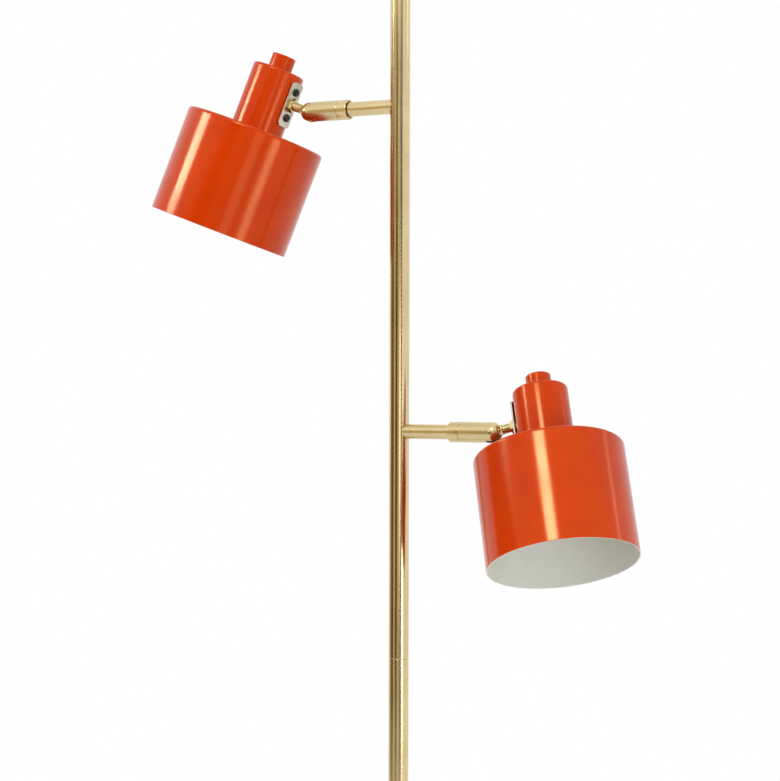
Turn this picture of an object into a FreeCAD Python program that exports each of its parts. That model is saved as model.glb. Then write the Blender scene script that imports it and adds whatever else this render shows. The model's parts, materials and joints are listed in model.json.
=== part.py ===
import FreeCAD, Part
import math
import os

# A tension pole lamp: a sprung pole that is wedged between floor and ceiling, with two
# shades on short arms. Each shade swivels about its arm and tilts at a forked knuckle.
# Millimetres, +Z up. The origin is the centre of the floor pad's underside, on the pole's
# axis. The lower arm points along +X and the upper arm along -X.

V = FreeCAD.Vector

# ---- fits ----
FIT = 0.05                # radial clearance of a round piece in its seat or bearing
SEAT = 0.02               # gap left between two faces that are pressed together
RUN_GAP = 0.3             # gap between faces that turn past each other
DRILL = 0.15              # extra radius of a clearance hole

# ---- pole ----
POLE_R = 10.0
POLE_WALL = 1.0
FIRST_JOINT_Z = 850.0     # butt joint of the bottom and middle tubes
SECOND_JOINT_Z = 1650.0   # butt joint of the middle and top tubes
POLE_TOP_Z = 2380.0
SPIGOT_LENGTH = 90.0
SPIGOT_WALL = 1.5

# ---- floor and ceiling ends ----
PAD_R = 31.0
PAD_THICK = 4.0
CUP_R = 30.0
CUP_HEIGHT = 14.0
CUP_RIM = 3.0
CUP_NECK = 2.5            # wall of the cup round the tube that it holds
SOCKET_DEPTH = 6.0
PLUG_LENGTH = 22.0
PLUG_SCREW_R = 4.0
PLUG_HEAD_R = 7.0
PLUG_HEAD_THICK = 4.0

# ---- cord inlet ----
INLET_Z = 60.0
INLET_HOLE_R = 4.0
INLET_FLANGE_R = 5.6
INLET_FLANGE_THICK = 1.6
INLET_BARREL_DEPTH = 3.5
INLET_BORE_R = 2.6

# ---- sprung plunger ----
PLUNGER_R = 8.0
PLUNGER_WALL = 1.0
PLUNGER_TRAVEL = 80.0     # how far the ceiling can push the plunger in
PLUNGER_LEFT_OUT = 20.0   # plunger that still shows when it is pushed right in
BUSH_LENGTH = 45.0
BUSH_FLANGE = 3.0
STOP_LENGTH = 20.0
SPRING_LENGTH = 150.0
SPRING_TURNS = 16
SPRING_WIRE_R = 0.9
SPRING_MEAN_R = 6.9
SPRING_SEAT_THICK = 12.0

# ---- arms ----
LOWER_ARM_Z = 1076.6
ARM_SPACING = 325.2       # height of the upper arm above the lower one
ARM_R = 7.3
ARM_WALL = 1.2
ARM_LENGTH = 62.0         # pole's axis to the outer end of the arm tube
STUD_R = 5.0
STUD_BORE_R = 3.0
STUD_REACH_IN = 5.4       # nose inside the pole's wall
STUD_NOSE_OUT = 1.5       # nose outside it, up to the shoulder
STUD_SHANK = 15.5
SADDLE_HEIGHT = 18.0

# ---- knuckle ----
KNUCKLE_R = 10.1
COLLAR_OVERLAP = 5.0      # collar over the arm tube
COLLAR_PROUD = 6.0        # collar past the arm tube's end
COLLAR_LIP = 1.1          # collar's wall at its mouth
COLLAR_MOUTH_DEPTH = 2.5
COLLAR_WEB = 3.0          # end wall that the swivel screw's head bears on
SWIVEL_HEAD_R = 6.3
SWIVEL_HEAD_THICK = 2.4
SWIVEL_R = 4.0
SWIVEL_BORE_R = 2.5
SWIVEL_THREAD = 12.0      # length screwed into the knuckle
EDGE_BREAK = 0.4
COLLAR_TO_PIN = 33.8
PIN_R = 2.5
PIN_INSET = 0.3           # pin's ends below the knuckle's sides
SLOT_WIDTH = 6.1
EYE_THICK = 5.8
EYE_R = 4.5
EYE_GAP = 0.4             # eye to the slot's floor

# ---- shade bracket ----
PIN_TO_NECK_WALL = 26.65  # tilt pin to the neck's outside
STUB_R = 4.7
STUB_GAP = 0.5            # knuckle's dome to the stub's round part
STUB_BORE_R = 2.0
STUB_INSIDE = 5.85        # stub past the neck's outside
THREAD_PITCH = 1.25
THREAD_DEPTH = 0.35
THREAD_RINGS = 6
STUB_NUT_FLATS = 13.0
STUB_NUT_THICK = 4.5
INNER_NUT_THICK = 3.0
PLATE_THICK = 1.5
PLATE_WIDTH = 19.5
PLATE_HEIGHT = 47.0
PLATE_CORNER_R = 3.0
SCREW_SPACING = 27.6
SCREW_R = 2.0
SCREW_HEAD_R = 4.0
SCREW_HEAD_THICK = 2.4
RECESS_LENGTH = 4.2
RECESS_WIDTH = 0.9
RECESS_DEPTH = 1.2
SMALL_NUT_FLATS = 7.0
SMALL_NUT_THICK = 3.2

# ---- shade: heights are measured from the tilt pin, with the shade hanging upright ----
NECK_TOP = 30.5
NECK_HEIGHT = 67.25
NECK_R = 27.15
DRUM_HEIGHT = 111.4
DRUM_R = 73.2
SHEET = 1.0
NECK_ROUND = 2.6
DRUM_ROUND = 3.0
KNOB_R = 12.45
KNOB_HEIGHT = 15.35
KNOB_ROUND = 1.4
KNOB_WALL = 1.3
KNOB_HOLLOW = 6.0

# ---- lampholder and switch ----
HOLDER_THREAD_R = 19.7
HOLDER_BODY_R = 19.4
HOLDER_FLANGE_GAP = 2.15  # flange to the neck's bore
HOLDER_FLANGE_THICK = 2.5
HOLDER_TOP = 2.0
HOLDER_NOSE = 15.0        # lampholder that shows below the drum's top
HOLDER_BORE_R = 14.6
HOLDER_BORE_DEPTH = 24.0
LAMP_THREAD_R = 13.4
SHELL_LENGTH = 19.0
SHELL_INSET = 2.0
CONTACT_R = 8.0
CONTACT_THICK = 0.6
CONTACT_TIP_R = 3.0
CONTACT_TIP_RISE = 2.0
RING_FLANGE_R = 27.0
RING_FLANGE_THICK = 2.0
RING_R = 23.5
RING_HEIGHT = 8.0
SWITCH_R = 17.0
BUSHING_R = 5.0
BUSHING_ABOVE = 5.0       # switch bushing above the neck's top face
SWITCH_NUT_FLATS = 12.0
SWITCH_NUT_THICK = 3.0
SPINDLE_R = 3.0
SPINDLE_DEPTH = 12.0      # spindle inside the switch, below the neck's top wall

# ---- how the two shades are turned in the stored pose, in degrees ----
LAMPS = {
    "lower": {"arm_z": LOWER_ARM_Z, "heading": 0.0, "tilt": 15.3, "roll": -18.7},
    "upper": {"arm_z": LOWER_ARM_Z + ARM_SPACING, "heading": 180.0, "tilt": 19.9, "roll": 7.0},
}

# ---- sizes that follow ----
POLE_BORE_R = POLE_R - POLE_WALL
POLE_FOOT_Z = PAD_THICK + CUP_HEIGHT - SOCKET_DEPTH
ARM_BORE_R = ARM_R - ARM_WALL
STUD_TIP = POLE_R - STUD_REACH_IN
STUD_SHOULDER = POLE_R + STUD_NOSE_OUT
STUD_END = STUD_SHOULDER + STUD_SHANK
COLLAR_START = ARM_LENGTH - COLLAR_OVERLAP
COLLAR_END = ARM_LENGTH + COLLAR_PROUD
COLLAR_MOUTH_R = KNUCKLE_R - COLLAR_LIP
PIN_X = COLLAR_END + COLLAR_TO_PIN
PIN_LENGTH = 2 * (KNUCKLE_R - PIN_INSET)
STUB_START = KNUCKLE_R + STUB_GAP
STUB_END = PIN_TO_NECK_WALL + STUB_INSIDE
PIN_TO_NECK = PIN_TO_NECK_WALL + NECK_R
BUSH_BOTTOM_Z = POLE_TOP_Z - BUSH_LENGTH
STOP_TOP_Z = BUSH_BOTTOM_Z - SEAT
STOP_BOTTOM_Z = STOP_TOP_Z - STOP_LENGTH
SPRING_SEAT_Z = STOP_BOTTOM_Z - SPRING_LENGTH
PLUNGER_REACH = PLUNGER_LEFT_OUT + PLUNGER_TRAVEL
CEILING_CUP_Z = POLE_TOP_Z + BUSH_FLANGE + PLUNGER_REACH
TOP_Z = CEILING_CUP_Z + CUP_HEIGHT + PAD_THICK
SLOT_FLOOR = PIN_X - EYE_R - EYE_GAP
NECK_BOTTOM = NECK_TOP - NECK_HEIGHT
NECK_BORE_R = NECK_R - SHEET
HOLDER_FLANGE_R = NECK_BORE_R - HOLDER_FLANGE_GAP
PLATE_OUTER = PIN_TO_NECK - NECK_R - PLATE_THICK - SEAT
DRUM_INSIDE = NECK_BOTTOM - SHEET
HOLDER_BOTTOM = DRUM_INSIDE - HOLDER_NOSE
HOLDER_FLOOR = HOLDER_BOTTOM + HOLDER_BORE_DEPTH
KNOB_BOTTOM = NECK_TOP + RUN_GAP
KNOB_TOP = NECK_TOP + KNOB_HEIGHT


# ---- shape helpers ----
def outline(corners):
    """A closed wire in the XZ plane through (x, z, corner radius) triples."""
    count = len(corners)
    points = [V(x, 0, z) for x, z, _ in corners]
    cuts = []
    for i in range(count):
        here = points[i]
        radius = corners[i][2]
        if radius == 0:
            cuts.append((here, here, None))
            continue
        back = (points[i - 1] - here).normalize()
        ahead = (points[(i + 1) % count] - here).normalize()
        half = back.getAngle(ahead) / 2
        reach = radius / math.tan(half)
        centre = here + (back + ahead).normalize() * (radius / math.sin(half))
        middle = centre + (here - centre).normalize() * radius
        cuts.append((here + back * reach, here + ahead * reach, middle))
    edges = []
    for i in range(count):
        first, last, middle = cuts[i]
        if middle is not None:
            edges.append(Part.Arc(first, middle, last).toShape())
        following = cuts[(i + 1) % count][0]
        if (following - last).Length > 1e-6:
            edges.append(Part.makeLine(last, following))
    return Part.Wire(edges)


def turned(corners):
    """A solid turned about Z from (radius, z, corner radius) triples."""
    return Part.Face(outline(corners)).revolve(V(0, 0, 0), V(0, 0, 1), 360)


def rod(radius, low, high):
    return Part.makeCylinder(radius, high - low, V(0, 0, low))


def tube(outer, inner, low, high):
    return rod(outer, low, high).cut(rod(inner, low, high))


def along_x(shape):
    """Lay a shape turned about Z down on the X axis, with its +Z end towards +X."""
    return shape.copy().rotate(V(0, 0, 0), V(0, 1, 0), 90)


def along_y(shape):
    return shape.copy().rotate(V(0, 0, 0), V(1, 0, 0), -90)


def bar_x(radius, low, high, z=0.0):
    return Part.makeCylinder(radius, high - low, V(low, 0, z), V(1, 0, 0))


def box(low, high):
    size = [high[i] - low[i] for i in range(3)]
    return Part.makeBox(size[0], size[1], size[2], V(*low))


def hex_nut(flats, bore_r, low, high):
    """A hexagon nut about Z with its corners chamfered on both faces."""
    corner_r = flats / math.sqrt(3)
    corners = [V(corner_r * math.cos(a), corner_r * math.sin(a), low)
               for a in (math.radians(60 * k) for k in range(7))]
    blank = Part.Face(Part.makePolygon(corners)).extrude(V(0, 0, high - low))
    bevel = (corner_r - flats / 2) * 0.6
    shaping = turned([(0, low, 0), (flats / 2, low, 0), (corner_r, low + bevel, 0),
                      (corner_r, high - bevel, 0), (flats / 2, high, 0), (0, high, 0)])
    return blank.common(shaping).cut(rod(bore_r, low, high))


# ---- pole ----
def end_cup(tube_r):
    """A flat-bottomed cup, rim down at z = 0, with a socket for a tube in its neck."""
    neck_r = tube_r + FIT + CUP_NECK
    return turned([(0, 0, 0), (CUP_R, 0, 0.6), (CUP_R, CUP_RIM, 1.2),
                   (neck_r, CUP_HEIGHT * 0.72, 5.0), (neck_r, CUP_HEIGHT, 0.8),
                   (tube_r + FIT, CUP_HEIGHT, 0), (tube_r + FIT, CUP_HEIGHT - SOCKET_DEPTH, 0),
                   (0, CUP_HEIGHT - SOCKET_DEPTH, 0)])


def pad():
    """A rubber pad, resting face down, with a soft outer edge."""
    return turned([(0, 0, 0), (PAD_R, 0, 0.8), (PAD_R, PAD_THICK, 0.8), (0, PAD_THICK, 0)])


def foot_cup():
    cup = end_cup(POLE_R)
    cup.translate(V(0, 0, PAD_THICK))
    hole_top = POLE_FOOT_Z + SEAT
    cup = cup.cut(rod(PLUG_SCREW_R + FIT, PAD_THICK, hole_top))
    return cup.cut(rod(PLUG_HEAD_R + FIT, PAD_THICK, PAD_THICK + PLUG_HEAD_THICK + SEAT))


def foot_plug():
    """The plug in the pole's foot, with the headed stud that holds the cup up to it."""
    plug = rod(POLE_BORE_R - FIT, POLE_FOOT_Z + SEAT, POLE_FOOT_Z + PLUG_LENGTH)
    stud = rod(PLUG_SCREW_R, PAD_THICK + SEAT, POLE_FOOT_Z + PLUG_LENGTH / 2)
    head = rod(PLUG_HEAD_R, PAD_THICK + SEAT, PAD_THICK + PLUG_HEAD_THICK)
    return plug.fuse([stud, head]).removeSplitter()


def inlet_drill(radius, low, high):
    """A bar on the cord inlet's axis, which leaves the back of the pole along +Y."""
    return Part.makeCylinder(radius, high - low, V(0, low, INLET_Z), V(0, 1, 0))


def pole_bottom_tube():
    length = tube(POLE_R, POLE_BORE_R, POLE_FOOT_Z, FIRST_JOINT_Z - SEAT)
    return length.cut(inlet_drill(INLET_HOLE_R, 0, POLE_R + 1))


def cord_bush():
    outer_y = POLE_R + INLET_FLANGE_THICK
    flange = inlet_drill(INLET_FLANGE_R, 0, outer_y)
    flange = flange.cut(rod(POLE_R + FIT, INLET_Z - POLE_R, INLET_Z + POLE_R))
    barrel = inlet_drill(INLET_HOLE_R - FIT, POLE_R - INLET_BARREL_DEPTH, outer_y)
    return flange.fuse(barrel).cut(inlet_drill(INLET_BORE_R, 0, outer_y + 1)).removeSplitter()


def pole_middle_tube():
    length = tube(POLE_R, POLE_BORE_R, FIRST_JOINT_Z, SECOND_JOINT_Z - SEAT)
    for lamp in LAMPS.values():
        drill = bar_x(STUD_R + DRILL, 0, POLE_R + 1)
        length = length.cut(place(drill, "arm", lamp))
    return length


def pole_top_tube():
    return tube(POLE_R, POLE_BORE_R, SECOND_JOINT_Z, POLE_TOP_Z - SEAT)


def spigot(joint_z):
    outer = POLE_BORE_R - FIT
    half = SPIGOT_LENGTH / 2
    return tube(outer, outer - SPIGOT_WALL, joint_z - half, joint_z + half)


def guide_bush():
    flange = tube(POLE_R, PLUNGER_R + FIT, POLE_TOP_Z, POLE_TOP_Z + BUSH_FLANGE)
    sleeve = tube(POLE_BORE_R - FIT, PLUNGER_R + FIT, BUSH_BOTTOM_Z, POLE_TOP_Z)
    return flange.fuse(sleeve).removeSplitter()


def plunger_tube():
    top = CEILING_CUP_Z + SOCKET_DEPTH - SEAT
    return tube(PLUNGER_R, PLUNGER_R - PLUNGER_WALL, STOP_BOTTOM_Z + SEAT, top)


def plunger_stop():
    """The collar on the plunger's lower end, closed below where the spring pushes."""
    collar = rod(POLE_BORE_R - FIT, STOP_BOTTOM_Z - 2, STOP_TOP_Z)
    return collar.cut(rod(PLUNGER_R + FIT, STOP_BOTTOM_Z, STOP_TOP_Z))


def spring_seat():
    return rod(POLE_BORE_R - FIT, SPRING_SEAT_Z - SPRING_SEAT_THICK, SPRING_SEAT_Z)


def arc_from(start, heading, end):
    """The arc that leaves start along heading and reaches end."""
    chord = end - start
    turn = heading.getAngle(chord)
    side = heading - chord * (heading.dot(chord) / chord.dot(chord))
    bulge = chord.Length / 2 * math.tan(turn / 2)
    return Part.Arc(start, (start + end) * 0.5 + side.normalize() * bulge, end).toShape()


def tension_spring():
    """The compression spring: a wire swept along pairs of arcs, a quarter turn each pair."""
    low = SPRING_SEAT_Z + SPRING_WIRE_R + SEAT
    high = STOP_BOTTOM_Z - 2 - SPRING_WIRE_R - SEAT
    rise = (high - low) / (2 * math.pi * SPRING_TURNS)

    def point(a):
        return V(SPRING_MEAN_R * math.cos(a), SPRING_MEAN_R * math.sin(a), low + rise * a)

    def heading(a):
        return V(-SPRING_MEAN_R * math.sin(a), SPRING_MEAN_R * math.cos(a), rise).normalize()

    edges = []
    for quarter in range(4 * SPRING_TURNS):
        a = quarter * math.pi / 2
        b = a + math.pi / 2
        span = point(b) - point(a)
        headings = heading(a) + heading(b)
        spread = 2 * (1 - heading(a).dot(heading(b)))
        along = span.dot(headings)
        reach = (math.sqrt(along ** 2 + spread * span.dot(span)) - along) / spread
        middle = (point(a) + point(b) + (heading(a) - heading(b)) * reach) * 0.5
        ahead = (point(b) - heading(b) * reach - middle).normalize()
        edges.append(arc_from(point(a), heading(a), middle))
        edges.append(arc_from(middle, ahead, point(b)))
    print("spring: pitch", round(rise * 2 * math.pi, 2), "least gap",
          round(rise * 2 * math.pi - 2 * SPRING_WIRE_R, 2))
    wire = Part.Wire([Part.Edge(Part.Circle(point(0), heading(0), SPRING_WIRE_R))])
    return Part.Wire(edges).makePipeShell([wire], True, False)


def ceiling_cup():
    """The cup under the ceiling pad, with a boss that fits inside the plunger."""
    cup = end_cup(PLUNGER_R).rotate(V(0, 0, 0), V(1, 0, 0), 180)
    cup.translate(V(0, 0, CEILING_CUP_Z + CUP_HEIGHT))
    floor_z = CEILING_CUP_Z + SOCKET_DEPTH
    boss = rod(PLUNGER_R - PLUNGER_WALL - FIT, floor_z - 2 * SOCKET_DEPTH, floor_z)
    return cup.fuse(boss).removeSplitter()


def ceiling_pad():
    top = pad().rotate(V(0, 0, 0), V(1, 0, 0), 180)
    top.translate(V(0, 0, TOP_Z))
    return top


# ---- arm and knuckle: the arm runs along +X from the pole's axis ----
def arm_tube():
    bare = along_x(tube(ARM_R, ARM_BORE_R, 0, ARM_LENGTH))
    return bare.cut(rod(POLE_R + FIT, -2 * ARM_R, 2 * ARM_R))


def arm_stud():
    """The hollow stud that draws the arm tube on to the pole."""
    nose = tube(STUD_R, STUD_BORE_R, STUD_TIP, STUD_SHOULDER)
    shank = tube(ARM_BORE_R - FIT, STUD_BORE_R, STUD_SHOULDER, STUD_END)
    return along_x(nose.fuse(shank).removeSplitter())


def saddle_nut():
    """The nut inside the pole, curved to its wall, that the stud screws into."""
    half = SADDLE_HEIGHT / 2
    slug = rod(POLE_BORE_R - FIT, -half, half)
    slug = slug.common(box((STUD_TIP, -POLE_R, -half), (POLE_R, POLE_R, half)))
    return slug.cut(bar_x(STUD_R + FIT, 0, POLE_R))


def knuckle_collar():
    """The fixed half of the swivel, on the end of the arm tube."""
    web = COLLAR_END - COLLAR_WEB
    return along_x(turned([
        (COLLAR_MOUTH_R, COLLAR_START, 0), (KNUCKLE_R, COLLAR_START, EDGE_BREAK),
        (KNUCKLE_R, COLLAR_END, EDGE_BREAK), (SWIVEL_R + FIT, COLLAR_END, 0),
        (SWIVEL_R + FIT, web, 0), (SWIVEL_HEAD_R + FIT, web, 0),
        (SWIVEL_HEAD_R + FIT, ARM_LENGTH + SEAT, 0), (ARM_R + FIT, ARM_LENGTH + SEAT, 0),
        (ARM_R + FIT, COLLAR_START + COLLAR_MOUTH_DEPTH, 0),
        (COLLAR_MOUTH_R, COLLAR_START + COLLAR_MOUTH_DEPTH, 0)]))


def swivel_screw():
    """The hollow screw that the knuckle turns with, its head behind the collar's web."""
    web = COLLAR_END - COLLAR_WEB
    head = tube(SWIVEL_HEAD_R, SWIVEL_BORE_R, web - SEAT - SWIVEL_HEAD_THICK, web - SEAT)
    shank = tube(SWIVEL_R, SWIVEL_BORE_R, web - SEAT, COLLAR_END + SWIVEL_THREAD)
    return along_x(head.fuse(shank).removeSplitter())


def knuckle_body():
    """The turning half: a round bar with a domed, forked end."""
    start = COLLAR_END + RUN_GAP / 2
    bar = along_x(turned([(0, start, 0), (KNUCKLE_R, start, EDGE_BREAK),
                          (KNUCKLE_R, PIN_X, 0), (0, PIN_X, 0)]))
    dome = Part.makeSphere(KNUCKLE_R, V(PIN_X, 0, 0))
    body = bar.fuse(dome)
    slot = box((SLOT_FLOOR, -SLOT_WIDTH / 2, -2 * KNUCKLE_R),
               (PIN_X + 2 * KNUCKLE_R, SLOT_WIDTH / 2, 2 * KNUCKLE_R))
    thread = bar_x(SWIVEL_R + FIT, start - 1, COLLAR_END + SWIVEL_THREAD + 1)
    wireway = bar_x(SWIVEL_BORE_R, start, SLOT_FLOOR + 1)
    pin_hole = rod(PIN_R + FIT / 2, -2 * KNUCKLE_R, 2 * KNUCKLE_R)
    pin_hole = along_y(pin_hole).translate(V(PIN_X, 0, 0))
    return body.cut([slot, thread, wireway, pin_hole]).removeSplitter()


def pivot_pin():
    pin = along_y(turned([(0, -PIN_LENGTH / 2, 0), (PIN_R, -PIN_LENGTH / 2, 0.2),
                          (PIN_R, PIN_LENGTH / 2, 0.2), (0, PIN_LENGTH / 2, 0)]))
    return pin.translate(V(PIN_X, 0, 0))


# ---- head: the tilt pin is at the origin, the bracket runs along +X, the shade opens down ----
def on_neck_axis(shape):
    return shape.translate(V(PIN_TO_NECK, 0, 0))


def pivot_tongue():
    """The flat eye on the pin and the hollow threaded stub that carries the shade."""
    eye = along_y(rod(EYE_R, -EYE_THICK / 2, EYE_THICK / 2))
    blade = box((0, -EYE_THICK / 2, -EYE_R), (STUB_START + 0.5, EYE_THICK / 2, EYE_R))
    root_r = STUB_R - THREAD_DEPTH
    rings = [(0, STUB_START, 0), (STUB_R, STUB_START, 0)]
    for k in range(THREAD_RINGS):
        crest = STUB_START + THREAD_PITCH * (k + 0.75)
        rings.append((STUB_R, crest, 0))
        rings.append((root_r, crest + THREAD_PITCH * 0.25, 0))
        rings.append((STUB_R, crest + THREAD_PITCH * 0.5, 0))
    end = STUB_END
    rings.extend([(STUB_R, end, 0.4), (0, end, 0)])
    stub = along_x(turned(rings))
    wireway = bar_x(STUB_BORE_R, EYE_R + 2, end + 1)
    side_slot = box((EYE_R + 2, 0, -STUB_BORE_R), (STUB_START - 0.6, EYE_THICK, STUB_BORE_R))
    eye_hole = along_y(rod(PIN_R + FIT, -EYE_THICK, EYE_THICK))
    return eye.fuse([blade, stub]).cut([wireway, side_slot, eye_hole]).removeSplitter()


def stub_nuts():
    """The two nuts on the stub, either side of the plate and the neck's wall."""
    outer = hex_nut(STUB_NUT_FLATS, STUB_R + FIT, PLATE_OUTER - SEAT - STUB_NUT_THICK,
                    PLATE_OUTER - SEAT)
    corner = STUB_NUT_FLATS / math.sqrt(3)
    wall = PIN_TO_NECK - math.sqrt(NECK_BORE_R ** 2 - corner ** 2) + 10 * SEAT
    inner = hex_nut(STUB_NUT_FLATS, STUB_R + FIT, wall, wall + INNER_NUT_THICK)
    return Part.makeCompound([along_x(outer), along_x(inner)])


def screw_heights():
    return (-SCREW_SPACING / 2, SCREW_SPACING / 2)


def bracket_plate():
    half_w = PLATE_WIDTH / 2
    half_h = PLATE_HEIGHT / 2
    face = Part.Face(outline([(sx * half_w, sz * half_h, PLATE_CORNER_R)
                              for sx, sz in ((-1, -1), (1, -1), (1, 1), (-1, 1))]))
    plate = face.extrude(V(0, PLATE_THICK, 0)).rotate(V(0, 0, 0), V(0, 0, 1), -90)
    plate.translate(V(PLATE_OUTER, 0, 0))
    drills = [bar_x(STUB_R + DRILL, 0, PIN_TO_NECK)]
    drills += [bar_x(SCREW_R + DRILL, 0, PIN_TO_NECK, z) for z in screw_heights()]
    return plate.cut(drills)


def bracket_screws():
    seat = PLATE_OUTER - SEAT
    head_top = seat - SCREW_HEAD_THICK
    end = STUB_END
    screw = along_x(turned([(0, head_top, 0), (SCREW_HEAD_R, head_top, 1.3),
                            (SCREW_HEAD_R, seat, 0), (SCREW_R, seat, 0),
                            (SCREW_R, end, 0.3), (0, end, 0)]))
    half_l = RECESS_LENGTH / 2
    half_w = RECESS_WIDTH / 2
    bottom = head_top + RECESS_DEPTH
    screw = screw.cut([box((head_top - 1, -half_l, -half_w), (bottom, half_l, half_w)),
                       box((head_top - 1, -half_w, -half_l), (bottom, half_w, half_l))])
    return Part.makeCompound([screw.copy().translate(V(0, 0, z)) for z in screw_heights()])


def bracket_nuts():
    corner = SMALL_NUT_FLATS / math.sqrt(3)
    wall = PIN_TO_NECK - math.sqrt(NECK_BORE_R ** 2 - corner ** 2) + 5 * SEAT
    nut = along_x(hex_nut(SMALL_NUT_FLATS, SCREW_R + FIT, wall, wall + SMALL_NUT_THICK))
    return Part.makeCompound([nut.copy().translate(V(0, 0, z)) for z in screw_heights()])


def neck_cup():
    """The spun cup above the drum: closed at the top, open below."""
    low = NECK_BOTTOM + SEAT
    cup = on_neck_axis(turned([
        (BUSHING_R + DRILL, NECK_TOP, 0), (NECK_R, NECK_TOP, NECK_ROUND), (NECK_R, low, 0.3),
        (NECK_BORE_R, low, 0.3), (NECK_BORE_R, NECK_TOP - SHEET, NECK_ROUND - SHEET),
        (BUSHING_R + DRILL, NECK_TOP - SHEET, 0)]))
    drills = [bar_x(STUB_R + DRILL, 0, PIN_TO_NECK)]
    drills += [bar_x(SCREW_R + DRILL, 0, PIN_TO_NECK, z) for z in screw_heights()]
    return cup.cut(drills)


def shade_drum():
    """The spun drum: its top face rounds into the wall, and it is open below."""
    low = NECK_BOTTOM - DRUM_HEIGHT
    bore = DRUM_R - SHEET
    hole = HOLDER_THREAD_R + DRILL
    return on_neck_axis(turned([
        (hole, NECK_BOTTOM, 0), (DRUM_R, NECK_BOTTOM, DRUM_ROUND),
        (DRUM_R, low, SHEET * 0.45), (bore, low, SHEET * 0.45),
        (bore, DRUM_INSIDE, DRUM_ROUND - SHEET), (hole, DRUM_INSIDE, 0)]))


def lampholder_body():
    flange_low = NECK_BOTTOM + SEAT
    flange_high = flange_low + HOLDER_FLANGE_THICK
    return on_neck_axis(turned([
        (0, HOLDER_TOP, 0), (HOLDER_BODY_R, HOLDER_TOP, 2.0), (HOLDER_BODY_R, flange_high, 0),
        (HOLDER_FLANGE_R, flange_high, 0.5), (HOLDER_FLANGE_R, flange_low, 0),
        (HOLDER_THREAD_R, flange_low, 0), (HOLDER_THREAD_R, HOLDER_BOTTOM, 0.8),
        (HOLDER_BORE_R, HOLDER_BOTTOM, 0.8), (HOLDER_BORE_R, HOLDER_FLOOR, 0),
        (0, HOLDER_FLOOR, 0)]))


def shade_ring():
    """The ring that screws up the lampholder's nose and clamps the drum."""
    top = DRUM_INSIDE - SEAT
    bore = HOLDER_THREAD_R + FIT
    return on_neck_axis(turned([
        (bore, top, 0), (RING_FLANGE_R, top, 0.4), (RING_FLANGE_R, top - RING_FLANGE_THICK, 0.4),
        (RING_R, top - RING_FLANGE_THICK, 0), (RING_R, top - RING_HEIGHT, 0.8),
        (bore, top - RING_HEIGHT, 0)]))


def socket_shell():
    low = HOLDER_BOTTOM + SHELL_INSET
    return on_neck_axis(tube(HOLDER_BORE_R - FIT, LAMP_THREAD_R, low, low + SHELL_LENGTH))


def contact_strip():
    top = HOLDER_FLOOR - SEAT
    tip = top - CONTACT_THICK - CONTACT_TIP_RISE
    return on_neck_axis(turned([
        (0, top, 0), (CONTACT_R, top, 0), (CONTACT_R, top - CONTACT_THICK, 0),
        (CONTACT_TIP_R, top - CONTACT_THICK, 0), (CONTACT_TIP_R * 0.6, tip, 0), (0, tip, 0)]))


def switch_body():
    """The rotary switch on top of the lampholder, with its bushing through the neck."""
    low = HOLDER_TOP + SEAT
    shoulder = NECK_TOP - SHEET - SEAT
    top = NECK_TOP + BUSHING_ABOVE
    bore = SPINDLE_R + FIT
    return on_neck_axis(turned([
        (0, low, 0), (SWITCH_R, low, 1.0), (SWITCH_R, shoulder, 1.0), (BUSHING_R, shoulder, 0),
        (BUSHING_R, top, 0), (bore, top, 0), (bore, shoulder - SPINDLE_DEPTH, 0),
        (0, shoulder - SPINDLE_DEPTH, 0)]))


def switch_nut():
    low = NECK_TOP + SEAT
    nut = hex_nut(SWITCH_NUT_FLATS, BUSHING_R + FIT, low, low + SWITCH_NUT_THICK)
    return on_neck_axis(nut)


def switch_knob():
    """The round knob over the switch nut, pushed on to the spindle."""
    bore = SPINDLE_R + SEAT
    hollow = KNOB_R - KNOB_WALL
    return on_neck_axis(turned([
        (0, KNOB_TOP, 0), (KNOB_R, KNOB_TOP, KNOB_ROUND), (KNOB_R, KNOB_BOTTOM, 0.3),
        (hollow, KNOB_BOTTOM, 0), (hollow, KNOB_BOTTOM + KNOB_HOLLOW, 0.5),
        (bore, KNOB_BOTTOM + KNOB_HOLLOW, 0), (bore, KNOB_TOP - 2 * KNOB_WALL, 0),
        (0, KNOB_TOP - 2 * KNOB_WALL, 0)]))


def knob_spindle():
    low = NECK_TOP - SHEET - SPINDLE_DEPTH + RUN_GAP
    return on_neck_axis(rod(SPINDLE_R, low, KNOB_TOP - 2 * KNOB_WALL - SEAT))


# ---- placing and saving ----
def place(shape, frame, lamp):
    """Move a piece from its own frame to its lamp: a head tilts, rolls and turns to its arm."""
    piece = shape.copy()
    if frame == "head":
        piece.rotate(V(0, 0, 0), V(0, 1, 0), -lamp["tilt"])
        piece.translate(V(PIN_X, 0, 0))
    if frame in ("head", "swivel"):
        piece.rotate(V(0, 0, 0), V(1, 0, 0), lamp["roll"])
    piece.rotate(V(0, 0, 0), V(0, 0, 1), lamp["heading"])
    piece.translate(V(0, 0, lamp["arm_z"]))
    return piece


def save(name, shape):
    solids = shape.Solids
    state = "ok" if shape.isValid() and solids else "BAD"
    print(f"{name:28s} {len(solids)} solid(s) {shape.Volume / 1000:9.3f} cm3 {state}")
    shape.exportStep(f"parts/{name}.step")


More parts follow.
